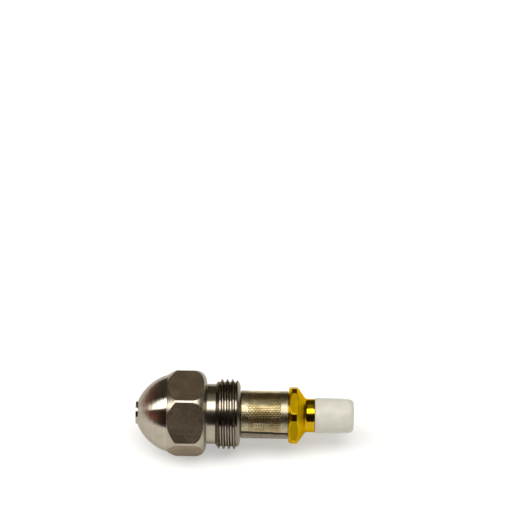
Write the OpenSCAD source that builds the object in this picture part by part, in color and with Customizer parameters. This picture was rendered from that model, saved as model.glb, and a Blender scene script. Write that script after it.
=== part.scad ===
// Return-flow oil burner nozzle with its strainer and return seal.
// Each piece is drawn standing on the spray tip, so z is the distance behind the tip.
// lay_down() then turns that z onto +X and puts the middle of the adapter thread at the origin.

/* [Nozzle body] */
// Across flats of the spanner hexagon (5/8 inch less its tolerance)
hex_flats = 15.75; // [15.55:0.005:15.875]
// Where the hexagon starts, behind the tip
hex_from = 6.5; // [6.3:0.1:6.8]
// Where the hexagon ends
hex_to = 14.4; // [14.3:0.05:14.6]
// Radius that the corners of the hexagon are turned down to
hex_corner_r = 8.95; // [8.7:0.01:9.05]
// Radius of the arc of the domed nose
dome_r = 9.35; // [9.3:0.01:9.4]
// How far the orifice insert stands out of the dome
insert_proud = 0.45; // [0.3:0.05:0.6]
// Radius of the undercut behind the hexagon
undercut_r = 6.1; // [5.9:0.05:6.3]
// Where the rear face is, against which the strainer screws home
body_to = 21.2; // [21.1:0.05:21.3]

/* [Adapter thread] */
// Major diameter of the adapter thread (9/16 inch)
thread_d = 14.2875; // [14:0.0005:14.5]
// Pitch of the adapter thread (24 threads an inch)
thread_pitch = 1.0583; // [1:0.0001:1.1]
// Where the first full crest is
first_crest = 17.4; // [17.3:0.1:17.5]
// Number of full crests
crest_count = 3; // [2:1:3]

/* [Inside the body] */
// Radius of the bore that the lock screw and the strainer screw into
tapped_r = 4.3; // [4.25:0.05:4.5]
// Pitch of that inner thread (32 threads an inch)
inner_pitch = 0.794; // [0.75:0.001:0.85]
// Radius of the orifice
orifice_r = 0.95; // [0.8:0.05:1.1]
// Number of swirl slots in the distributor, and of feed holes in the lock screw
swirl_slots = 6; // [4:1:6]

/* [Strainer] */
// Radius of the collars that carry the screen
collar_r = 4.58; // [4.5:0.01:4.6]
// Outer radius of the wire screen
screen_r = 4.85; // [4.85:0.01:5]
// Outer radius of the slotted sleeve under the screen
sleeve_r = 4.35; // [4.2:0.05:4.5]
// Outer radius of the return tube
tube_r = 1.6; // [1.5:0.05:1.65]

/* [Return end] */
// Across flats of the brass hexagon (7/16 inch)
end_flats = 11.11; // [10.8:0.01:11.3]
// Radius that the corners of the brass hexagon are turned down to
end_corner_r = 6.02; // [5.9:0.01:6.1]
// Radius of the neck between the brass hexagon and the seal
neck_r = 3.38; // [3.3:0.01:3.5]
// Largest radius of the plastic seal
seal_r = 3.6; // [3.55:0.05:3.75]
// Length of the whole nozzle, from the tip to the end of the seal
overall = 44.2; // [44:0.1:45]

/* [Hidden] */
$fn = 96;

over = 0.5;               // how far a cutter runs past a face
gap = 0.02;               // fit between pieces fixed to each other
play = 0.05;              // radial play between pieces that screw or slide on each other

// A 60 degree thread has a crest an eighth of the pitch wide, and this depth for each millimetre of pitch.
thread_depth_ratio = 0.5413;

// nozzle body
thread_r = thread_d / 2;
thread_root_r = thread_r - thread_depth_ratio * thread_pitch;
thread_middle = first_crest + (crest_count - 1) * thread_pitch / 2;
dome_middle = 9;          // where the centre of the dome's arc is
dome_offset = 1.2;        // and how far it lies beyond the axis, which makes the dome a little pointed
front_face_r = hex_flats / 2 - 0.1;
front_chamfer = 1.7;      // length of the chamfer on the front of the hexagon
rear_round_r = 2.65;      // the corners are rounded off behind by this radius
rear_face_r = 6.25;       // and the round ends at the rear face here
undercut_to = 16.35;
lead_to = 16.65;          // the first, partial crest ends here
lead_drop = 0.25;         // and is this much lower than the others
seat_from = 20.25;        // the rounded seat runs from here to the rear face
seat_to_r = 5.85;

// bores, from the tip inwards
insert_to = 3.6;          // the insert's stem ends and its flange begins
insert_r = 2.48;
pocket_r = 3.9;           // the flange and the distributor fill this pocket
pocket_to = 9.2;

// orifice insert
flange_to = 5.2;
mouth_r = 1.7;            // countersink around the orifice
throat_from = 0.9;        // straight part of the orifice
throat_to = 1.6;
cone_r = 3.2;             // wide end of the cone that the distributor seats in
cone_slope = (cone_r - orifice_r) / (flange_to - throat_to);

// swirl distributor
distributor_from = 2.9;
distributor_to = 8;
return_hole_r = 0.7;
return_bore_r = 1.3;
return_bore_from = 4.8;
groove_r = 0.65;          // grooves that bring oil along its side
slot_w = 0.5;
slot_depth = 0.45;
slot_l = 3.4;

// lock screw
lock_thread_from = 9.4;
lock_to = 12.8;
lock_nose_r = 2.4;
lock_bore_r = 2;
lock_bore_from = 8.4;
feed_hole_r = 0.5;
feed_circle_r = 2.95;
driver_slot = 1;          // width and depth
male_r = tapped_r - play;
male_root_r = male_r - thread_depth_ratio * inner_pitch;

// return tube and its O-ring
tube_bore_r = 1.1;
head_r = 1.9;
head_from = 9.3;
head_to = 12.3;
tube_to = 34;
ring_at = 10.8;
ring_cord_r = 0.34;
ring_r = 1.61;
ring_groove_w = 0.9;

// strainer
spigot_from = 15.2;
spigot_to = 20.3;
spigot_bore_r = 3.2;
spigot_neck_r = 3.6;
front_collar_from = body_to + gap;
front_collar_to = 22.9;
rear_collar_from = 29.3;
rear_collar_to = 31.05;   // also the front of the brass hexagon
step_r = 3.68;            // short steps on both collars centre the sleeve
step_l = 0.6;
passage_r = 0.6;          // oil passages through the front collar
passage_circle_r = 2.45;
passages = 6;
window_from = 24;         // two openings in the sleeve
window_to = 28.2;
window_angle = 100;
screen_t = 0.16;
screen_inset = 0.08;      // the screen stops this far short of the faces at its ends
solder_t = 0.08;
lap_w = 1.6;              // where the screen's edges overlap
lap_t = 0.09;
lap_turn = 275;

// return end
end_turn = 50;
end_bevel = 0.4;
end_flats_to = 32.6;
end_cone_to = 34.5;
stub_from = 36.25;        // the seal butts against this shoulder
stub_r = 2.5;
stub_to = 43;
stub_lead = 0.4;
outlet_r = 1.45;

// seal
seal_lip = 0.25;
seal_taper_from = 41.3;
seal_tail_r = 3.42;
seal_round = 0.8;

module lay_down() {
    translate([-thread_middle, 0, 0]) rotate([0, 90, 0]) children();
}

// A turned solid from an outline of [radius, distance] points, from the tip back.
module turned(outline) {
    rotate_extrude() polygon(outline);
}

module rod(r, from, to) {
    translate([0, 0, from]) cylinder(r = r, h = to - from);
}

module hexagon(flats, turn, from, to) {
    rotate([0, 0, turn]) translate([0, 0, from]) cylinder(r = flats / sqrt(3), h = to - from, $fn = 6);
}

module ring_of(count) {
    for (i = [0 : count - 1]) rotate([0, 0, i * 360 / count]) children();
}

// A sector centred on +x, extruded from one distance to another.
module sector(angle, r, from, to) {
    translate([0, 0, from]) linear_extrude(to - from)
        polygon([[0, 0], [r, -r * tan(angle / 2)], [r, r * tan(angle / 2)]]);
}

// Outlines of ring-shaped thread crests, the first of them centred on first.
function crests(first, count, crest_r, root_r, pitch) = [
    for (i = [0 : count - 1], p = [[root_r, -3 / 8], [crest_r, -1 / 16], [crest_r, 1 / 16], [root_r, 3 / 8]])
        [p[0], first + (i + p[1]) * pitch]
];

// A rod with as many inner-thread crests as fit between its ends.
module male_thread(from, to) {
    count = floor((to - from) / inner_pitch);
    first = (from + to - (count - 1) * inner_pitch) / 2;
    turned(concat([[0, from], [male_root_r, from]],
                  crests(first, count, male_r, male_root_r, inner_pitch),
                  [[male_root_r, to], [0, to]]));
}

module dome() {
    rotate_extrude() intersection() {
        translate([-dome_offset, dome_middle]) circle(r = dome_r);
        translate([0, insert_proud]) square([front_face_r, hex_from + gap - insert_proud]);
    }
}

// The turned shape that cuts off the hexagon's corners: a chamfer in front, a large round behind.
module hexagon_blank() {
    rotate_extrude() intersection() {
        polygon([[0, hex_from], [front_face_r, hex_from], [hex_corner_r, hex_from + front_chamfer],
                 [hex_corner_r, hex_to], [0, hex_to]]);
        union() {
            square([hex_corner_r, hex_to - rear_round_r]);
            square([rear_face_r, hex_to]);
            translate([rear_face_r, hex_to - rear_round_r]) circle(r = rear_round_r);
        }
    }
}

module spanner_hexagon() {
    intersection() {
        hexagon(hex_flats, 30, hex_from, hex_to);
        hexagon_blank();
    }
}

// Undercut, adapter thread and the rounded seat that seals against the adapter.
module threaded_tail() {
    last_root = first_crest + (crest_count - 1 + 3 / 8) * thread_pitch;
    turned(concat(
        [[0, hex_to - over], [undercut_r, hex_to - over], [undercut_r, undercut_to],
         [thread_r - lead_drop, lead_to], [thread_root_r, first_crest - thread_pitch / 2]],
        crests(first_crest, crest_count, thread_r, thread_root_r, thread_pitch),
        [[thread_root_r, last_root + thread_pitch / 8], [thread_r - 0.05, seat_from],
         [thread_r - 0.3, seat_from + 0.3], [thread_r - 0.7, seat_from + 0.65],
         [seat_to_r, body_to], [0, body_to]]));
}

module nozzle_body() {
    color([0.62, 0.6, 0.57]) lay_down() difference() {
        union() {
            dome();
            spanner_hexagon();
            threaded_tail();
        }
        rod(insert_r + gap, 0, insert_to + over);
        rod(pocket_r + gap, insert_to, pocket_to + over);
        rod(tapped_r, pocket_to, body_to + over);
    }
}

module orifice_insert() {
    rim = 0.12;
    color([0.55, 0.54, 0.52]) lay_down() difference() {
        union() {
            turned([[0, 0], [insert_r - rim, 0], [insert_r, rim], [insert_r, insert_to + gap + over],
                    [0, insert_to + gap + over]]);
            rod(pocket_r, insert_to + gap, flange_to);
        }
        turned([[0, -over], [mouth_r, -over], [mouth_r, 0], [orifice_r, throat_from], [orifice_r, throat_to],
                [cone_r, flange_to], [cone_r, flange_to + over], [0, flange_to + over]]);
    }
}

// One slot, sunk into the distributor's cone and set off centre so that the oil spins.
module swirl_slot(nose_r) {
    translate([nose_r, nose_r / 2, distributor_from]) rotate([0, atan(cone_slope) - 90, 0])
        translate([-over, 0, -over]) cube([slot_l + over, slot_w, slot_depth + over]);
}

module swirl_distributor() {
    nose_r = orifice_r + cone_slope * (distributor_from - throat_to) - gap;
    shoulder = flange_to + over;
    color([0.58, 0.57, 0.55]) lay_down() difference() {
        turned([[0, distributor_from], [nose_r, distributor_from], [cone_r - gap, flange_to],
                [cone_r - gap, shoulder], [pocket_r, shoulder + 0.4], [pocket_r, distributor_to],
                [0, distributor_to]]);
        rod(return_hole_r, distributor_from - over, return_bore_from + over);
        rod(return_bore_r, return_bore_from, distributor_to + over);
        ring_of(swirl_slots) translate([pocket_r, 0, 0]) rod(groove_r, flange_to, distributor_to + over);
        ring_of(swirl_slots) swirl_slot(nose_r);
    }
}

module lock_screw() {
    color([0.6, 0.58, 0.55]) lay_down() difference() {
        union() {
            rod(lock_nose_r, distributor_to + gap, lock_thread_from + over);
            male_thread(lock_thread_from, lock_to);
        }
        rod(return_bore_r, distributor_to - over, lock_bore_from + over);
        rod(lock_bore_r, lock_bore_from, lock_to + over);
        ring_of(swirl_slots) translate([feed_circle_r, 0, 0])
            rod(feed_hole_r, lock_thread_from - over, lock_to + over);
        translate([-tapped_r, -driver_slot / 2, lock_to - driver_slot])
            cube([2 * tapped_r, driver_slot, driver_slot + over]);
    }
}

module return_o_ring() {
    color([0.05, 0.05, 0.05]) lay_down() translate([0, 0, ring_at])
        rotate_extrude() translate([ring_r, 0]) circle(r = ring_cord_r);
}

module strainer_spigot() {
    inner_to = front_collar_to + step_l;
    color([0.8, 0.62, 0.2]) lay_down() difference() {
        union() {
            male_thread(spigot_from, spigot_to);
            rod(spigot_neck_r, spigot_to - over, front_collar_from + over);
            rod(collar_r, front_collar_from, front_collar_to);
            rod(step_r, front_collar_from, inner_to);
        }
        rod(spigot_bore_r, spigot_from - over, front_collar_from);
        rod(tube_r + gap, spigot_from - over, inner_to + over);
        ring_of(passages) translate([passage_circle_r, 0, 0])
            rod(passage_r, front_collar_from - over, inner_to + over);
    }
}

module return_tube() {
    color([0.78, 0.6, 0.22]) lay_down() difference() {
        union() {
            rod(head_r, head_from, head_to);
            rod(tube_r, head_from, tube_to);
        }
        rod(tube_bore_r, head_from - over, tube_to + over);
        difference() {
            rod(head_r + over, ring_at - ring_groove_w / 2, ring_at + ring_groove_w / 2);
            rod(ring_r - ring_cord_r - gap, head_from, head_to);
        }
    }
}

module screen_sleeve() {
    color([0.8, 0.62, 0.2]) lay_down() difference() {
        rod(sleeve_r, front_collar_to + gap, rear_collar_from - gap);
        rod(step_r + gap, front_collar_to - over, rear_collar_from + over);
        for (side = [0, 180]) rotate([0, 0, lap_turn + side - 50])
            sector(window_angle, 2 * sleeve_r, window_from, window_to);
    }
}

// Woven screen rolled into a tube, with its edges lapped and soldered along one side.
module wire_screen() {
    from = front_collar_from + screen_inset;
    to = rear_collar_to - screen_inset;
    lap_angle = lap_w / screen_r * 180 / PI;
    color([0.66, 0.63, 0.56]) lay_down() difference() {
        union() {
            rod(screen_r, from, to);
            intersection() {
                rod(screen_r + lap_t, from, to);
                rotate([0, 0, lap_turn + lap_angle / 2]) sector(lap_angle, 2 * screen_r, from, to);
            }
        }
        rod(screen_r - screen_t, from - over, to + over);
    }
}

// Solder that holds one end of the screen on its collar.
module solder_band(from, to) {
    color([0.72, 0.71, 0.68]) lay_down() difference() {
        rod(collar_r + gap / 2 + solder_t, from + screen_inset, to - screen_inset);
        rod(collar_r + gap / 2, from - over, to + over);
    }
}

module front_solder_band() {
    solder_band(front_collar_from, front_collar_to);
}

module rear_solder_band() {
    solder_band(rear_collar_from, rear_collar_to);
}

module hex_return_end() {
    color([0.83, 0.64, 0.14]) lay_down() difference() {
        union() {
            rod(step_r, rear_collar_from - step_l, rear_collar_from + over);
            rod(collar_r, rear_collar_from, rear_collar_to + over);
            intersection() {
                hexagon(end_flats, end_turn, rear_collar_to, end_cone_to);
                turned([[0, rear_collar_to], [end_corner_r - end_bevel, rear_collar_to],
                        [end_corner_r, rear_collar_to + end_bevel], [end_corner_r, end_flats_to],
                        [neck_r, end_cone_to], [0, end_cone_to]]);
            }
            rod(neck_r, end_cone_to - over, stub_from);
            turned([[0, stub_from - over], [stub_r, stub_from - over], [stub_r, stub_to - stub_lead],
                    [stub_r - stub_lead, stub_to], [0, stub_to]]);
        }
        rod(tube_r + gap, rear_collar_from - step_l - over, tube_to + gap);
        rod(outlet_r, tube_to - over, stub_to + over);
    }
}

module return_seal() {
    from = stub_from + play;
    color([0.93, 0.92, 0.88]) lay_down() rotate_extrude() difference() {
        union() {
            polygon([[outlet_r, from], [seal_r - seal_lip, from], [seal_r, from + seal_lip],
                     [seal_r, seal_taper_from], [seal_tail_r, overall - seal_round],
                     [seal_tail_r - seal_round, overall], [outlet_r, overall]]);
            translate([seal_tail_r - seal_round, overall - seal_round]) circle(r = seal_round);
        }
        translate([0, from - over]) square([stub_r + play, stub_to + play - from + over]);
    }
}

nozzle_body();
orifice_insert();
swirl_distributor();
lock_screw();
return_o_ring();
strainer_spigot();
return_tube();
screen_sleeve();
wire_screen();
front_solder_band();
rear_solder_band();
hex_return_end();
return_seal();
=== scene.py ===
"""Looks of the return-flow oil burner nozzle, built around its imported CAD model.

Outlines give distances behind the spray tip and radii from the nozzle's axis, both in millimetres.
Angles round the axis start at the front (-Y) and turn up towards +Z.
"""
import math
import bpy
import numpy as np
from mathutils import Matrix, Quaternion, Vector


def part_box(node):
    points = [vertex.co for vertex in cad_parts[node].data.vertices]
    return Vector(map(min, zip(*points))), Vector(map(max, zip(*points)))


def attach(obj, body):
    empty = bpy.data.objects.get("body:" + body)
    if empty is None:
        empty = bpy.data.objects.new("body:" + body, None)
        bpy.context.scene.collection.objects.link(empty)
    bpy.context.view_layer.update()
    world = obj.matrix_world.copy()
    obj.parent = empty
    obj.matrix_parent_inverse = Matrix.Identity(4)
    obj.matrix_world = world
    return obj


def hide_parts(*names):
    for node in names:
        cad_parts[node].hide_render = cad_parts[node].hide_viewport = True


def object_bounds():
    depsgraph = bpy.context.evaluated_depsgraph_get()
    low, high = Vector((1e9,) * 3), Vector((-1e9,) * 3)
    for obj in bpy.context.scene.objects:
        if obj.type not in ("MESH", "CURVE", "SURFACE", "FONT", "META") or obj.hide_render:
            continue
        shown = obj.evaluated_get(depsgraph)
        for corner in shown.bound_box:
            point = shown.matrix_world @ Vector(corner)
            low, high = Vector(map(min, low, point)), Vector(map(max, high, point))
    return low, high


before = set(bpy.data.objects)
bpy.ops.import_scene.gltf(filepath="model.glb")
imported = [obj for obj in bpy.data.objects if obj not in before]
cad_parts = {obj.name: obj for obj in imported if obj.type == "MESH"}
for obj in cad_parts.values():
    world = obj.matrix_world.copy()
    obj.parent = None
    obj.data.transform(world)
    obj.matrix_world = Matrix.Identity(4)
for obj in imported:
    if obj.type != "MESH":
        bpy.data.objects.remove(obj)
cad_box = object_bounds()

MM = 0.001
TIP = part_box("orifice_insert")[0].x
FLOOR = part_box("nozzle_body")[0].z
SCREEN = [(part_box("wire_screen")[end].x - TIP) / MM for end in (0, 1)]
SIXTH = math.pi / 3


# ---- mesh building ----

def points(s, r, angle):
    """Positions of points s behind the tip and r from the axis."""
    s, r, angle = np.broadcast_arrays(s, r, angle)
    return np.stack([TIP + s * MM, -r * np.cos(angle) * MM, r * np.sin(angle) * MM], axis=-1)


def piece(name, vertices, faces, sharp_angle=35.0):
    """A smooth-shaded object whose edges are sharp where they turn by more than sharp_angle degrees."""
    mesh = bpy.data.meshes.new(name)
    mesh.from_pydata(vertices.tolist(), [], faces.tolist() if hasattr(faces, "tolist") else faces)
    mesh.validate()
    mesh.shade_smooth()
    mesh.set_sharp_from_angle(angle=math.radians(sharp_angle))
    made = bpy.data.objects.new(name, mesh)
    bpy.context.scene.collection.objects.link(made)
    return made


def grid_faces(rows, columns, close_rows):
    """Four-sided faces of a grid whose columns close into rings, and whose rows may close as well."""
    i = np.arange(rows if close_rows else rows - 1)[:, None]
    j = np.arange(columns)[None, :]
    below, right = (i + 1) % rows, (j + 1) % columns
    corners = [i * columns + j, i * columns + right, below * columns + right, below * columns + j]
    return np.stack(np.broadcast_arrays(*corners), axis=-1).reshape(-1, 4)


def volume(vertices, faces):
    """Volume inside a closed mesh of four-sided faces, below zero where they face inwards."""
    a, b, c, d = (vertices[faces[:, k]] for k in range(4))
    return float((np.cross(a, b) * c).sum() + (np.cross(a, c) * d).sum()) / 6


def skin(name, rows, angles, sharp_angle=35.0):
    """A closed solid from rows of (s, r): numbers, or arrays with one value for each angle."""
    s = np.array([np.broadcast_to(row[0], angles.shape) for row in rows])
    r = np.array([np.broadcast_to(row[1], angles.shape) for row in rows])
    vertices = points(s, r, angles).reshape(-1, 3)
    faces = grid_faces(len(rows), len(angles), close_rows=True)
    if volume(vertices, faces) < 0:
        faces = faces[:, ::-1]
    made = piece(name, vertices, faces, sharp_angle)
    keep_flats_flat = made.modifiers.new("weighted_normal", "WEIGHTED_NORMAL")
    keep_flats_flat.keep_sharp = True
    return made


def curve(start, pull, end, steps):
    """Points of a quadratic curve, without its first point."""
    out = []
    for k in range(1, steps + 1):
        t = k / steps
        weights = ((1 - t) ** 2, 2 * t * (1 - t), t ** 2)
        out.append(tuple(sum(w * p[i] for w, p in zip(weights, (start, pull, end))) for i in (0, 1)))
    return out


def line(start, end, steps):
    """Evenly spaced points of a straight line, without its first point."""
    return curve(start, ((start[0] + end[0]) / 2, (start[1] + end[1]) / 2), end, steps)


def even_angles(count):
    return np.arange(count) * 2 * math.pi / count


# A hexagon's broken edges, in shares of their half width: how far they fall in the middle, and how far the
# rows keep from them at each end, which is at most a share of the height of that end.
EDGE_DROP = 0.3
EDGE_CLEARANCE = 0.75
END_SHARE = 0.4
# Rows at each end of a hexagon before its flats begin.
END_ROWS = 9


class Hexagon:
    """A bar with six flats whose corners are turned down to a circle."""

    def __init__(self, corner, flat, corner_r, edge):
        """corner is the angle of one corner, and edge the half width of the broken edge beside each flat."""
        self.corner, self.edge = corner, edge
        half_corner = SIXTH / 2 - math.acos(flat / corner_r)
        width = edge / corner_r
        near = half_corner + width * np.array([-1, -0.5, 0, 0.5, 1, 2, 4])
        inside = np.linspace(0, half_corner - 2 * width, 4)
        outside = np.linspace(half_corner + 7 * width, SIXTH / 2, 9)
        half = np.concatenate([inside, near, outside])
        sector = np.concatenate([half, SIXTH - half[-2:0:-1]])
        self.angles = np.concatenate([corner + k * SIXTH + sector for k in range(6)])
        on_corner = self.off_corner() < half_corner
        self.flats = ~(on_corner & np.roll(on_corner, -1))
        sharp = np.minimum(flat / np.cos(SIXTH / 2 - self.off_corner()), corner_r)
        drop = np.clip(1 - np.abs(self.off_corner() - half_corner) / width, 0, 1)
        self.side = sharp - EDGE_DROP * edge * drop ** 2

    def off_corner(self):
        """Angles between the columns and the corner nearest to each."""
        return np.abs((self.angles - self.corner + SIXTH / 2) % SIXTH - SIXTH / 2)

    def rows(self, front, rear):
        """Rows from front to rear. Each end is an outline (distances, radii) that rises to the corners."""
        rows = []
        for (distances, radii), inwards in ((front, 1), (rear, -1)):
            low = radii[0]
            meets = np.interp(self.side, radii, distances)
            back = np.minimum(EDGE_CLEARANCE * self.edge, END_SHARE * (self.side - low))
            part = []
            for t in np.linspace(0, 1, END_ROWS - 1):
                r = low + (self.side - back - low) * t
                part.append((np.interp(r, radii, distances), r))
            on_flat = (meets + inwards * back, self.side)
            middle = tuple((p + 2 * m + q) / 4 for p, m, q in zip(part[-1], (meets, self.side), on_flat))
            part += [middle, on_flat]
            rows.append(part)
        start, end = rows[0][-1][0], rows[1][-1][0]
        shares = (0.02, 0.1, 0.3, 0.5, 0.7, 0.9, 0.98)
        between = [(start + (end - start) * t, self.side) for t in shares]
        return rows[0] + between + rows[1][::-1]


def paint_rows(made, columns, first_row, end_row, slot):
    """Give the faces between two rows, on the columns marked True, the material in a slot of the piece."""
    for face in made.data.polygons:
        row, column = divmod(face.index, len(columns))
        if first_row <= row < end_row and columns[column]:
            face.material_index = slot


def finished(made, body, slot, replaced, *materials):
    for surface in materials:
        made.data.materials.append(surface)
    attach(made, body)
    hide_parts(*replaced)


# ---- materials ----

def node(tree, kind, attributes=None, inputs=None):
    """A shader node. inputs maps socket names or numbers to values or to other nodes' outputs."""
    made = tree.nodes.new("ShaderNode" + kind)
    for key, value in (attributes or {}).items():
        setattr(made, key, value)
    for key, value in (inputs or {}).items():
        if isinstance(value, bpy.types.NodeSocket):
            tree.links.new(value, made.inputs[key])
        else:
            made.inputs[key].default_value = value
    return made


def noise(tree, vector, scale, detail=2.0, roughness=0.5, dimensions="3D"):
    inputs = {"Vector": vector, "Scale": scale, "Detail": detail, "Roughness": roughness}
    return node(tree, "TexNoise", {"noise_dimensions": dimensions}, inputs).outputs["Fac"]


def remap(tree, value, low, high, from_low=0.3, from_high=0.7):
    """Values between from_low and from_high, spread from low to high. Noise fills 0.3 to 0.7."""
    inputs = {"Value": value, "From Min": from_low, "From Max": from_high, "To Min": low, "To Max": high}
    return node(tree, "MapRange", None, inputs).outputs["Result"]


def blend_colour(tree, factor, first, second):
    """first where factor is 0 and second where it is 1, each a colour or another node's output."""
    mix = node(tree, "Mix", {"data_type": "RGBA"}, {0: factor})
    for slot, colour in ((6, first), (7, second)):
        if isinstance(colour, bpy.types.NodeSocket):
            tree.links.new(colour, mix.inputs[slot])
        else:
            mix.inputs[slot].default_value = (*colour, 1)
    return mix.outputs[2]


def average(tree, first, second, share=0.5):
    """first * (1 - share) + second * share."""
    return node(tree, "Mix", {"data_type": "FLOAT"}, {0: share, 2: first, 3: second}).outputs[0]


def multiply(tree, first, second):
    return node(tree, "Math", {"operation": "MULTIPLY"}, {0: first, 1: second}).outputs[0]


def place(tree):
    """Position on the piece itself, so that a texture moves with it."""
    return node(tree, "TexCoord").outputs["Object"]


def lathe_place(tree):
    """Distance along the axis and from it, so that a texture makes circles round the axis."""
    spot = place(tree)
    across = node(tree, "VectorMath", {"operation": "MULTIPLY"}, {0: spot, 1: (0, 1, 1)}).outputs[0]
    radius = node(tree, "VectorMath", {"operation": "LENGTH"}, {0: across}).outputs["Value"]
    along = node(tree, "SeparateXYZ", None, {0: spot}).outputs["X"]
    return node(tree, "CombineXYZ", None, {"X": along, "Y": radius}).outputs[0]


def material(name, metallic=0.0, **constants):
    """A new material. constants are its shader's sockets, with _ for each space in their names."""
    made = bpy.data.materials.new(name)
    made.use_nodes = True
    shader = made.node_tree.nodes["Principled BSDF"]
    shader.inputs["Metallic"].default_value = metallic
    for key, value in constants.items():
        shader.inputs[key.replace("_", " ")].default_value = value
    return made, made.node_tree, shader


def wire_up(tree, shader, colour, rough, height, depth):
    """Link a shader's colour and roughness, and a bump whose full height is depth metres."""
    tree.links.new(colour, shader.inputs["Base Color"])
    tree.links.new(rough, shader.inputs["Roughness"])
    bump = node(tree, "Bump", None, {"Height": height, "Distance": depth, "Strength": 1.0})
    tree.links.new(bump.outputs[0], shader.inputs["Normal"])


def turned_metal(name, light, dark, rough, depth, anisotropy=0.85, edge_tint=(1, 1, 1), coarseness=0.5):
    """Metal cut on a lathe: fine and coarser rings, and slow changes of tint."""
    made, tree, shader = material(name, metallic=1.0, Anisotropic=anisotropy, Anisotropic_Rotation=0.25,
                                  Specular_Tint=(*edge_tint, 1))
    tangent = node(tree, "Tangent", {"direction_type": "RADIAL", "axis": "X"}).outputs[0]
    tree.links.new(tangent, shader.inputs["Tangent"])
    round_axis = lathe_place(tree)
    fine = noise(tree, round_axis, scale=9000, roughness=0.6, dimensions="2D")
    coarse = noise(tree, round_axis, scale=2600, dimensions="2D")
    patches = noise(tree, place(tree), scale=350, detail=3)
    rings = average(tree, fine, coarse, coarseness)
    colour = blend_colour(tree, remap(tree, average(tree, patches, rings), 0, 1), dark, light)
    wire_up(tree, shader, colour, remap(tree, average(tree, rings, patches), *rough), rings, depth)
    return made


def drawn_metal(name, light, dark, rough, depth, metallic=1.0, edge_tint=(1, 1, 1)):
    """Flats as drawn or milled: grain along the axis, small pits, and with metallic below 1 a dull film."""
    made, tree, shader = material(name, metallic=metallic, Specular_Tint=(*edge_tint, 1))
    stretched = node(tree, "Mapping", None, {"Vector": place(tree), "Scale": (0.12, 1, 1)}).outputs[0]
    grain = noise(tree, stretched, scale=6000, detail=3, roughness=0.6)
    pits = noise(tree, place(tree), scale=4200, roughness=0.6)
    patches = noise(tree, place(tree), scale=420, detail=3)
    surface = average(tree, grain, pits)
    colour = blend_colour(tree, remap(tree, average(tree, patches, surface), 0, 1), dark, light)
    wire_up(tree, shader, colour, remap(tree, average(tree, surface, patches), *rough), surface, depth)
    return made


def wire_metal(name, light, dark):
    """Drawn wire, a little tarnished, with brassy and grey stretches. Each set of screen wires gets its own
    copy: a lighter one for the long wires as painted highlight, and a darker one for the ring wires as
    painted shade.
    """
    made, tree, shader = material(name, metallic=1.0)
    patches = noise(tree, place(tree), scale=700, detail=3)
    fine = noise(tree, place(tree), scale=9000)
    colour = blend_colour(tree, remap(tree, patches, 0, 1), dark, light)
    wire_up(tree, shader, colour, remap(tree, fine, 0.14, 0.28), fine, depth=1e-6)
    return made


def solder_metal(name, light, dark):
    """Cast solder, shining unevenly over small lumps."""
    made, tree, shader = material(name, metallic=1.0)
    lumps = noise(tree, place(tree), scale=1500, detail=3)
    fine = noise(tree, place(tree), scale=9000)
    colour = blend_colour(tree, remap(tree, lumps, 0, 1), dark, light)
    height = average(tree, lumps, fine, 0.3)
    wire_up(tree, shader, colour, remap(tree, fine, 0.13, 0.26), height, depth=1.4e-5)
    return made


def seal_plastic(name):
    """Off-white moulded nylon: nearly even, with faint blotches, a fine matt grain and a little depth."""
    made, tree, shader = material(name, Subsurface_Weight=0.25, Subsurface_Scale=0.0012)
    blotches = noise(tree, place(tree), scale=600, detail=3)
    grain = noise(tree, place(tree), scale=7000, detail=3, roughness=0.6)
    dark, light = (0.48, 0.465, 0.40), (0.55, 0.53, 0.455)
    colour = blend_colour(tree, remap(tree, blotches, 0, 1), dark, light)
    height = average(tree, grain, blotches, 0.3)
    wire_up(tree, shader, colour, remap(tree, grain, 0.45, 0.62), height, depth=1.5e-5)
    return made


def rubber(name):
    """Black rubber, a little dusty."""
    made, tree, shader = material(name)
    grain = noise(tree, place(tree), scale=8000, detail=3)
    dust = noise(tree, place(tree), scale=900, detail=3)
    clean, dusty = (0.012, 0.012, 0.013), (0.035, 0.034, 0.033)
    colour = blend_colour(tree, remap(tree, dust, 0, 1), clean, dusty)
    wire_up(tree, shader, colour, remap(tree, grain, 0.5, 0.7), grain, depth=1e-5)
    return made


def seam_gap_shadow(name):
    """Painted shadow: near-black with faint blotches, for the ledge along the edge of a soldered lap, where
    the gap under the lap lies in shade.
    """
    made, tree, shader = material(name, Specular_IOR_Level=0.15)
    blotches = noise(tree, place(tree), scale=2500, detail=3)
    dark, light = (0.008, 0.006, 0.003), (0.028, 0.021, 0.010)
    colour = blend_colour(tree, remap(tree, blotches, 0, 1), dark, light)
    wire_up(tree, shader, colour, remap(tree, blotches, 0.55, 0.8), blotches, depth=1e-5)
    return made


def light_table(name):
    """A pale sheet that is lit softly from below as well."""
    made, tree, shader = material(name, Emission_Color=(1.0, 0.99, 0.97, 1), Emission_Strength=0.4)
    mottle = noise(tree, place(tree), scale=40, detail=4)
    fibre = noise(tree, place(tree), scale=2500, detail=3)
    dark, light = (0.52, 0.52, 0.515), (0.55, 0.55, 0.545)
    colour = blend_colour(tree, remap(tree, mottle, 0, 1), dark, light)
    wire_up(tree, shader, colour, remap(tree, fibre, 0.75, 0.9), fibre, depth=5e-6)
    return made


# Tints of the reflection near a metal's outline, where a plain metal would turn white.
DULL_EDGE = (0.7, 0.68, 0.64)
DARK_EDGE = (0.5, 0.485, 0.455)
# Painted shade: a darker edge tint for the thread steel.
THREAD_SHADE_EDGE = (0.4, 0.37, 0.33)
BRASS_EDGE = (0.95, 0.7, 0.1)

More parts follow.
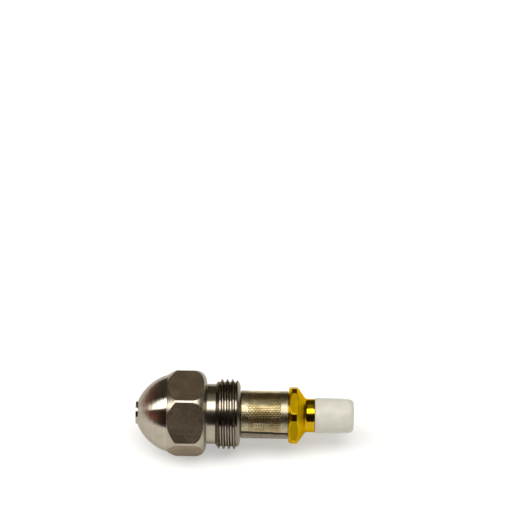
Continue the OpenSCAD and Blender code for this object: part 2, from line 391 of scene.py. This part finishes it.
STEEL = turned_metal("turned_stainless", (0.43, 0.39, 0.31), (0.32, 0.28, 0.215),
                     rough=(0.22, 0.36), depth=1.0e-5, edge_tint=DULL_EDGE)
DOME_STEEL = turned_metal("formed_stainless", (0.47, 0.42, 0.35), (0.33, 0.29, 0.235),
                          rough=(0.14, 0.24), depth=3.3e-5, anisotropy=1.0, edge_tint=DULL_EDGE,
                          coarseness=0.8)
STEEL_FLAT = drawn_metal("drawn_stainless", (0.43, 0.34, 0.235), (0.30, 0.23, 0.15),
                         rough=(0.20, 0.32), depth=5e-6, metallic=0.92, edge_tint=DARK_EDGE)
# Painted shade: a darker copy of the turned steel for the thread. It stands in for the dark reflections on
# the thread's flanks and roots.
SHADED_THREAD_STEEL = turned_metal("thread_steel_painted_shade", (0.35, 0.31, 0.25), (0.22, 0.19, 0.15),
                            rough=(0.18, 0.30), depth=8e-6, edge_tint=THREAD_SHADE_EDGE)
HARD_STEEL = turned_metal("ground_hard_steel", (0.42, 0.39, 0.34), (0.32, 0.295, 0.26),
                          rough=(0.14, 0.26), depth=4e-6)
BRASS = turned_metal("turned_brass", (0.56, 0.37, 0.012), (0.46, 0.28, 0.006),
                     rough=(0.14, 0.26), depth=4e-6, edge_tint=BRASS_EDGE)
BRASS_FLAT = drawn_metal("drawn_brass", (0.325, 0.205, 0.001), (0.26, 0.157, 0.001),
                         rough=(0.18, 0.28), depth=3e-6, edge_tint=BRASS_EDGE)
# Painted shade: dark, rough brass for the parts inside the screen. It stands in for the dim inside seen
# through the wires.
SHADED_INNER_BRASS = turned_metal("inner_brass_painted_shade", (0.20, 0.125, 0.03), (0.12, 0.07, 0.015),
                               rough=(0.3, 0.45), depth=4e-6)
# Lit and shaded copies of the wire. The long wires are partly their own brassy colour and partly painted
# highlight. The ring wires are darker, as painted shade for the crimped wires that catch less light.
LIT_LONG_WIRE = wire_metal("long_wire_painted_highlight", (0.46, 0.39, 0.235), (0.30, 0.225, 0.095))
SHADED_RING_WIRE = wire_metal("ring_wire_painted_shade", (0.31, 0.245, 0.125), (0.19, 0.14, 0.05))
SOLDER = solder_metal("soft_solder", (0.44, 0.41, 0.33), (0.28, 0.255, 0.19))
SEAM_SOLDER = solder_metal("dull_solder", (0.22, 0.19, 0.14), (0.13, 0.105, 0.07))
# Painted shadow: a near-black finish for the ledge under the lap's edge.
SEAM_GAP_SHADOW = seam_gap_shadow("painted_seam_gap_shadow")
NYLON = seal_plastic("seal_nylon")
RUBBER = rubber("nitrile_rubber")
LIGHT_TABLE = light_table("light_table")


# ---- nozzle body ----

HEX_FLAT = 7.875
HEX_CORNER_R = 8.95
HEX_EDGE = 0.07
DOME_MIDDLE, DOME_R = (9.0, -1.2), 9.35
ROUND_MIDDLE, ROUND_R = (11.75, 6.3), 2.65
UNDERCUT_R = 6.1
BORE_R = 4.3
SEAT_R = 3.92
REAR_FACE = 21.2

# The right-hand thread climbs out of the undercut and is rounded off at its rear. Its steel is painted
# darker, as painted shade on the thread, back to the distance given below.
THREAD_PITCH = 1.0583
THREAD_R = 7.1437
THREAD_DEPTH = 0.62
THREAD_FROM, THREAD_TO = 16.2, 21.16
CREST_AT = 17.83
LEAD_SLOPE = 1.25
THREAD_SHADE_TO = 20.6


def arc(middle, radius, from_s, to_s, count):
    """Rows along an arc round middle (s, r), on the side away from the axis."""
    distances = np.linspace(from_s, to_s, count)
    return [(s, middle[1] + math.sqrt(radius ** 2 - (s - middle[0]) ** 2)) for s in distances]


def thread_radius(s, angles):
    """Radius of the thread, which has a crest through CREST_AT at angle 0."""
    half_crest, half_root = 0.065, 0.125
    turn = (s - CREST_AT) / THREAD_PITCH + angles / (2 * math.pi)
    off = np.abs(turn - np.round(turn))
    return THREAD_R - THREAD_DEPTH * np.clip((off - half_crest) / (0.5 - half_root - half_crest), 0, 1)


def nozzle_body():
    hexagon = Hexagon(corner=0.0, flat=HEX_FLAT, corner_r=HEX_CORNER_R, edge=HEX_EDGE)
    angles = hexagon.angles
    rows = [(3.6, 2.5), (0.52, 2.5), (0.45, 2.52), (0.45, 2.56)]
    first_dome = len(rows)
    rows += arc(DOME_MIDDLE, DOME_R, 0.47, 6.42, 72) + [(6.44, 7.79)]

    first_flat = len(rows)
    round_s, round_r = zip(*arc(ROUND_MIDDLE, ROUND_R, ROUND_MIDDLE[0], 13.9, 28)[::-1])
    rows += hexagon.rows(front=([6.46, 8.2], [7.82, 8.951]), rear=(round_s, round_r))
    last_flat = len(rows) - 1
    for a in np.linspace(0.62, 0.06, 16):
        rows.append((ROUND_MIDDLE[0] + ROUND_R * math.cos(a), ROUND_MIDDLE[1] + ROUND_R * math.sin(a)))
    rows += [(14.4, 6.2)] + curve((14.4, 6.2), (14.4, UNDERCUT_R), (14.55, UNDERCUT_R), 4)
    rows += line((14.55, UNDERCUT_R), (16.15, UNDERCUT_R), 6)

    first_thread = len(rows)
    rounding = np.array([(20.25, 7.13)] + curve((20.25, 7.13), (20.85, 6.78), (REAR_FACE, 5.85), 24))
    distances = np.arange(THREAD_FROM, THREAD_TO, 0.025)
    end_thread = first_thread + int((distances < THREAD_SHADE_TO).sum())
    for s in distances:
        limit = min(UNDERCUT_R + (s - THREAD_FROM) * LEAD_SLOPE, np.interp(s, rounding[:, 0], rounding[:, 1]))
        rows.append((s, np.minimum(thread_radius(s, angles), limit)))
    rows += [(REAR_FACE, 5.84), (REAR_FACE, 5.6), (REAR_FACE, 4.7), (21.05, 4.35), (21.0, BORE_R)]
    rows += line((21.0, BORE_R), (9.2, BORE_R), 12) + [(9.2, SEAT_R), (3.6, SEAT_R)]

    made = skin("nozzle_body_detail", rows, angles)
    finished(made, "nozzle", "stainless", ["nozzle_body"], STEEL, STEEL_FLAT, DOME_STEEL, SHADED_THREAD_STEEL)
    paint_rows(made, hexagon.flats, first_flat + END_ROWS, last_flat - END_ROWS, slot=1)
    all_round = np.ones(len(angles), bool)
    paint_rows(made, all_round, first_dome, first_flat, slot=2)
    # Painted shade: the thread gets the darker thread steel.
    paint_rows(made, all_round, first_thread, end_thread, slot=3)


def orifice_insert():
    """The spray tip: a small ring round the orifice, and behind it a flange that holds it in the body."""
    rows = [(0.0, 2.05), (0.0, 2.27)] + curve((0.0, 2.27), (0.0, 2.33), (0.06, 2.33), 3)
    rows += line((0.06, 2.33), (0.34, 2.34), 3) + curve((0.34, 2.34), (0.46, 2.36), (0.5, 2.48), 4)
    rows += [(3.62, 2.48), (3.62, 3.9), (5.2, 3.9), (5.2, 3.2), (1.6, 0.95), (1.0, 0.95), (0.88, 0.96)]
    rows += line((0.88, 0.96), (0.04, 1.68), 6) + curve((0.04, 1.68), (0.0, 1.72), (0.0, 1.78), 3)
    made = skin("orifice_insert_detail", rows, even_angles(144))
    finished(made, "nozzle", "hard_steel", ["orifice_insert"], HARD_STEEL)


# ---- strainer ----

SCREEN_R = 4.85
LONG_WIRES = 88
WEAVE = 0.042
ROLLED_FLAT = 0.02

# Section of a wire whose outer side is rolled flat: (across the wire, outwards).
WIRE_HALF_WIDTH = 0.107
WIRE_TOP = 0.045
WIRE_SECTION = np.array([(0.087, WIRE_TOP), (WIRE_HALF_WIDTH, 0), (0.055, -0.07),
                         (-0.055, -0.07), (-WIRE_HALF_WIDTH, 0), (-0.087, WIRE_TOP)])
CLOTH_R = SCREEN_R + ROLLED_FLAT - WIRE_TOP - WEAVE
SPACING = 2 * math.pi * CLOTH_R / LONG_WIRES
STEPS_PER_CROSSING = 4


def outward(angle):
    """Directions straight away from the axis."""
    return (points(0, 1, angle) - points(0, 0, angle)) / MM


def wires(paths, outwards, closed):
    """Rolled wires along paths, an array of wires by points by 3, with their flat sides turned outwards."""
    if closed:
        along = np.roll(paths, -1, axis=1) - np.roll(paths, 1, axis=1)
    else:
        along = np.gradient(paths, axis=1)
    along /= np.linalg.norm(along, axis=-1, keepdims=True)
    across = np.cross(along, outwards)
    across /= np.linalg.norm(across, axis=-1, keepdims=True)
    up = np.cross(across, along)
    up *= np.sign((up * outwards).sum(axis=-1, keepdims=True))
    section = MM * WIRE_SECTION
    rings = paths[:, :, None, :] + section[:, :1] * across[:, :, None, :] + section[:, 1:] * up[:, :, None, :]
    wire_count, point_count, sides = rings.shape[:3]
    faces = []
    for k in range(wire_count):
        start = k * point_count * sides
        faces += (grid_faces(point_count, sides, closed) + start).tolist()
        if not closed:
            faces.append([start + i for i in reversed(range(sides))])
            faces.append([start + (point_count - 1) * sides + i for i in range(sides)])
    return rings.reshape(-1, 3), faces


def rolled_cloth(name, vertices, faces, replaced, metal):
    """Wires whose crowns are pressed flat at the outside of the screen."""
    radius = np.hypot(vertices[:, 1], vertices[:, 2])[:, None]
    vertices[:, 1:] *= np.minimum(1, SCREEN_R * MM / radius)
    made = piece(name, vertices, faces, sharp_angle=40)
    finished(made, "strainer", "screen_wire", replaced, metal)


def screen_wires():
    """Plain weave: each wire goes over one crossing wire and under the next."""
    start, end = SCREEN[0] + WIRE_HALF_WIDTH, SCREEN[1] - WIRE_HALF_WIDTH
    ring_count = int((end - start) / SPACING) + 1
    first = (start + end - (ring_count - 1) * SPACING) / 2
    twist = 0.012

    which = np.arange(LONG_WIRES)[:, None]
    s = np.linspace(start, end, ring_count * STEPS_PER_CROSSING)[None, :]
    angle = which * 2 * math.pi / LONG_WIRES + twist * (s - start) / (end - start)
    r = CLOTH_R + WEAVE * np.cos(math.pi * ((s - first) / SPACING + which))
    along = wires(points(s, r, angle), outward(angle), closed=False)
    # Long wires: the lighter wire copy, partly painted highlight.
    rolled_cloth("screen_long_wires", *along, ["wire_screen"], LIT_LONG_WIRE)

    which = np.arange(ring_count)[:, None]
    angle = np.linspace(0, 2 * math.pi, LONG_WIRES * STEPS_PER_CROSSING, endpoint=False)[None, :]
    s, angle = np.broadcast_arrays(first + which * SPACING, angle)
    r = CLOTH_R - WEAVE * np.cos(LONG_WIRES / 2 * angle + math.pi * which)
    around = wires(points(s, r, angle), outward(angle), closed=True)
    # Ring wires: the darker wire copy, painted shade.
    rolled_cloth("screen_ring_wires", *around, [], SHADED_RING_WIRE)


def weave_relief(s, angle):
    """The weave as it shows through solder, between -1 and 1."""
    return np.cos(LONG_WIRES * angle) * np.cos(2 * math.pi * s / SPACING)


def ragged(angle, seed):
    """A slow wave round the axis, between -1 and 1."""
    return (np.sin(3 * angle + seed) + np.sin(7 * angle + 2.3 * seed) + np.sin(13 * angle + 0.7 * seed)) / 3


SOLDER_INSET = 0.02
FRONT_SOLDER_END = 22.95
REAR_SOLDER_START = 29.25


def solder_band(name, node_name, from_s, to_s, ragged_end):
    """Solder that fills the weave over a collar, with an uneven edge towards the open part of the screen."""
    wander, sunk, relief, edge_dip, thickness = 0.16, 0.014, 0.034, 0.12, 0.07
    angles = even_angles(360)
    edge = wander * ragged(angles, from_s)
    rows = []
    for t in np.linspace(0, 1, 22):
        s = from_s + (to_s - from_s) * t + edge * (t if ragged_end else 1 - t)
        dip = edge_dip * max(0, 1 - 10 * min(t, 1 - t)) ** 2
        rows.append((s, SCREEN_R - sunk - dip + relief * weave_relief(s, angles)))
    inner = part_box(node_name)[1].z / MM - thickness
    rows += [(rows[-1][0], inner), (rows[0][0], inner)]
    made = skin(name, rows, angles, sharp_angle=60)
    finished(made, "strainer", "solder", [node_name], SOLDER)


# The lapped seam. Its profile gives shares of the width round the screen, and heights over SCREEN_R. The
# first two columns of faces are the ledge beside the lap, painted near-black as painted shadow of the gap
# under the lap's edge, and the weave shows above RELIEF_FROM.
SEAM_AT = math.radians(-5)
SEAM_WIDTH = 1.6
SEAM_PROFILE = [(-0.3, -0.1), (-0.3, 0.024), (0.0, 0.024), (0.01, 0.055), (0.05, 0.075), (0.5, 0.07),
                (0.9, 0.05), (0.97, 0.0), (1.0, -0.1)]
LEDGE_COLUMNS = 2
RELIEF_FROM = 0.03


def seam():
    """The screen's lapped edge, soldered down: a strip that stands just proud and runs a little askew."""
    skew, wave, relief, margin = 0.075, 0.006, 0.012, 0.05
    start, end = SCREEN[0] + margin, SCREEN[1] - margin
    rows, columns = 80, len(SEAM_PROFILE)
    s = np.linspace(start, end, rows)
    width = SEAM_WIDTH / SCREEN_R
    lean = skew * (s - start) / (end - start)
    vertices = []
    for t, rise in SEAM_PROFILE:
        angle = SEAM_AT - t * width - lean + wave * np.sin(1.7 * s)
        lift = np.where(rise > RELIEF_FROM, relief * weave_relief(s, angle), 0)
        vertices.append(points(s, SCREEN_R + rise + lift, angle))
    vertices = np.array(vertices).transpose(1, 0, 2).reshape(-1, 3)
    faces = grid_faces(rows, columns, close_rows=False).tolist()
    faces += [list(range(columns))[::-1], [(rows - 1) * columns + k for k in range(columns)]]
    made = piece("screen_seam", vertices, faces, sharp_angle=50)
    finished(made, "strainer", "solder", [], SEAM_SOLDER, SEAM_GAP_SHADOW)
    # Painted shadow: the ledge columns get the near-black finish.
    paint_rows(made, np.arange(columns) < LEDGE_COLUMNS, 0, rows - 1, slot=1)


# ---- return end ----

RETURN_HEX_FLAT = 5.555
RETURN_HEX_CORNER_R = 6.02
RETURN_HEX_EDGE = 0.045
NECK_R = 3.37
PASSAGE_R = 1.45


def hex_return_end():
    hexagon = Hexagon(corner=math.radians(40), flat=RETURN_HEX_FLAT, corner_r=RETURN_HEX_CORNER_R,
                      edge=RETURN_HEX_EDGE)
    rows = [(28.7, 1.62), (28.7, 3.68), (29.3, 3.68), (29.3, 4.55), (29.33, 4.58), (31.05, 4.58)]
    rows += [(31.05, 5.3)]
    first_flat = len(rows)
    rows += hexagon.rows(front=([31.07, 31.65], [5.45, 6.03]), rear=([33.06, 32.59], [5.4, 6.03]))
    last_flat = len(rows) - 1
    rows += line((33.06, 5.4), (34.3, 3.66), 8) + curve((34.3, 3.66), (34.5, 3.38), (34.85, NECK_R), 6)
    rows += line((34.85, NECK_R), (35.7, NECK_R), 3) + curve((35.7, NECK_R), (36.0, 3.38), (36.2, 3.46), 4)
    rows += [(36.25, 3.44), (36.25, 2.5), (42.6, 2.5), (43.0, 2.1), (43.0, 1.5), (42.95, PASSAGE_R)]
    rows += [(34.02, PASSAGE_R), (34.02, 1.62)]
    made = skin("hex_return_end_detail", rows, hexagon.angles)
    finished(made, "strainer", "brass", ["hex_return_end"], BRASS, BRASS_FLAT)
    paint_rows(made, hexagon.flats, first_flat + END_ROWS, last_flat - END_ROWS, slot=1)


def return_seal():
    """A moulded sleeve, a little uneven outside its bore."""
    outside_bore, unevenness = 2.6, 0.006
    angles = even_angles(160)
    outline = [(36.3, 2.55), (36.3, 3.2)] + curve((36.3, 3.2), (36.3, 3.4), (36.42, 3.46), 4)
    outline += curve((36.42, 3.46), (36.55, 3.54), (36.8, 3.58), 4) + line((36.8, 3.58), (38.2, 3.6), 6)
    outline += line((38.2, 3.6), (40.2, 3.59), 8) + curve((40.2, 3.59), (42.0, 3.57), (43.35, 3.42), 14)
    outline += curve((43.35, 3.42), (44.12, 3.32), (44.2, 2.7), 12) + line((44.2, 2.7), (44.12, 1.75), 5)
    outline += curve((44.12, 1.75), (44.1, PASSAGE_R), (43.9, PASSAGE_R), 4)
    outline += [(43.05, PASSAGE_R), (43.05, 2.55)]
    rows = []
    for s, r in outline:
        wave = np.sin(2 * angles + 0.9 * s) + np.sin(5 * angles - 1.7 * s) * 0.5
        rows.append((s, r - unevenness * (1.5 + wave) if r > outside_bore else r))
    made = skin("return_seal_detail", rows, angles, sharp_angle=60)
    finished(made, "seal", "seal_plastic", ["return_seal"], NYLON)


# ---- pieces carried over from the CAD model ----

def repaint(node_name, surface):
    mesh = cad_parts[node_name].data
    if not mesh.materials:
        mesh.materials.append(surface)
    for k in range(len(mesh.materials)):
        mesh.materials[k] = surface


nozzle_body()
orifice_insert()
screen_wires()
solder_band("front_solder", "front_solder_band", SCREEN[0] + SOLDER_INSET, FRONT_SOLDER_END, ragged_end=True)
solder_band("rear_solder", "rear_solder_band", REAR_SOLDER_START, SCREEN[1] - SOLDER_INSET, ragged_end=False)
seam()
hex_return_end()
return_seal()
# Painted shade: the parts inside the screen get the darkened inner brass.
for name in ("strainer_spigot", "return_tube", "screen_sleeve"):
    repaint(name, SHADED_INNER_BRASS)
for name in ("swirl_distributor", "lock_screw"):
    repaint(name, HARD_STEEL)
repaint("return_o_ring", RUBBER)


# ---- floor, light and camera ----

def floor():
    """A pale sheet that reaches far behind and to the right, but ends a little left of the nozzle."""
    left, reach, count = -0.10, 2.0, 9
    below = 2e-5
    vertices = np.array([(x, y, FLOOR - below)
                         for y in np.linspace(-reach, reach, count)
                         for x in np.linspace(left, reach, count)])
    faces = [[i * count + j, i * count + j + 1, (i + 1) * count + j + 1, (i + 1) * count + j]
             for i in range(count - 1)
             for j in range(count - 1)]
    made = piece("floor", vertices, faces)
    made.data.materials.append(LIGHT_TABLE)


def softbox(name, elevation, distance, left, size, radiance, roll):
    """A long rectangular light over the nozzle, turned by roll and slid left along its length."""
    towards = Vector((0, -math.cos(elevation), math.sin(elevation)))
    rolled = Quaternion(towards, roll)
    light = bpy.data.lights.new(name, "AREA")
    light.shape = "RECTANGLE"
    light.size, light.size_y = size
    light.energy = radiance * size[0] * size[1] * math.pi
    made = bpy.data.objects.new(name, light)
    made.location = towards * distance - rolled @ Vector((left, 0, 0))
    made.rotation_mode = "QUATERNION"
    made.rotation_quaternion = rolled @ towards.to_track_quat("Z", "Y")
    bpy.context.scene.collection.objects.link(made)


ROOM_AHEAD = (0.018, 0.015, 0.012)
ROOM_BEHIND = (0.075, 0.065, 0.05)
BROWN_WALL = (0.30, 0.11, 0.07)
CEILING = (0.4, 0.375, 0.3)
SOFT_FILL = (0.5, 0.49, 0.47, 1)
WHITE = (1, 1, 1, 1)


def surroundings():
    """White to the camera, a soft fill on matt surfaces, and a dim room with one brown side in the metal."""
    world = bpy.data.worlds.new("room")
    world.use_nodes = True
    tree = world.node_tree
    tree.nodes.clear()
    towards = node(tree, "SeparateXYZ", None, {0: node(tree, "TexCoord").outputs["Generated"]})
    leftwards = remap(tree, towards.outputs["X"], 0, 1, from_low=-0.4, from_high=-0.85)
    low_down = remap(tree, towards.outputs["Z"], 1, 0, from_low=0.2, from_high=0.4)
    not_in_front = remap(tree, towards.outputs["Y"], 0, 1, from_low=-0.6, from_high=-0.42)
    brownness = multiply(tree, multiply(tree, leftwards, low_down), not_in_front)
    behind = remap(tree, towards.outputs["Y"], 0, 1, from_low=0.2, from_high=0.6)
    room_colour = blend_colour(tree, behind, ROOM_AHEAD, ROOM_BEHIND)
    walls = blend_colour(tree, brownness, room_colour, BROWN_WALL)
    high_up = remap(tree, towards.outputs["Z"], 0, 1, from_low=0.72, from_high=0.92)
    sideways = node(tree, "Math", {"operation": "ABSOLUTE"}, {0: towards.outputs["X"]}).outputs[0]
    central = remap(tree, sideways, 1, 0, from_low=0.2, from_high=0.4)
    in_metal = blend_colour(tree, multiply(tree, high_up, central), walls, CEILING)
    seen = node(tree, "LightPath")
    room = node(tree, "Background", None, {"Color": in_metal, "Strength": 1.0}).outputs[0]
    fill = node(tree, "Background", None, {"Color": SOFT_FILL, "Strength": 1.0}).outputs[0]
    white = node(tree, "Background", None, {"Color": WHITE, "Strength": 1.0}).outputs[0]
    matt = node(tree, "MixShader", None, {0: seen.outputs["Is Diffuse Ray"], 1: room, 2: fill}).outputs[0]
    mix = node(tree, "MixShader", None, {0: seen.outputs["Is Camera Ray"], 1: matt, 2: white}).outputs[0]
    node(tree, "OutputWorld", None, {"Surface": mix})
    bpy.context.scene.world = world


def camera():
    """At the photograph's angle: 45 degrees above the nozzle, square to its axis, which slopes a little."""
    distance, elevation, slope = 0.45, math.radians(45), math.radians(1.2)
    sensor_width, frame_width = 36, 0.1040
    right_of_centre, below_centre = -0.00153, 0.03252
    lens_data = bpy.data.cameras.new("camera")
    lens_data.sensor_width = sensor_width
    lens_data.lens = sensor_width * distance / frame_width
    lens_data.clip_start, lens_data.clip_end = 0.01, 10
    made = bpy.data.objects.new("camera", lens_data)
    bpy.context.scene.collection.objects.link(made)
    middle = (cad_box[0] + cad_box[1]) / 2
    back = Vector((0, -math.cos(elevation), math.sin(elevation)))
    across, up = Vector((1, 0, 0)), Vector((0, math.sin(elevation), math.cos(elevation)))
    made.location = middle + back * distance
    aim = middle - across * right_of_centre + up * below_centre
    made.rotation_mode = "QUATERNION"
    made.rotation_quaternion = (aim - made.location).to_track_quat("-Z", "Y")
    made.rotation_quaternion.rotate(Quaternion((aim - made.location).normalized(), -slope))
    bpy.context.scene.camera = made


floor()
softbox("key_softbox", elevation=math.radians(76.5), distance=0.6, left=0.85, size=(2.5, 0.34), radiance=4.3,
        roll=math.radians(-1))
surroundings()
camera()
bpy.context.scene.view_settings.view_transform = "Standard"
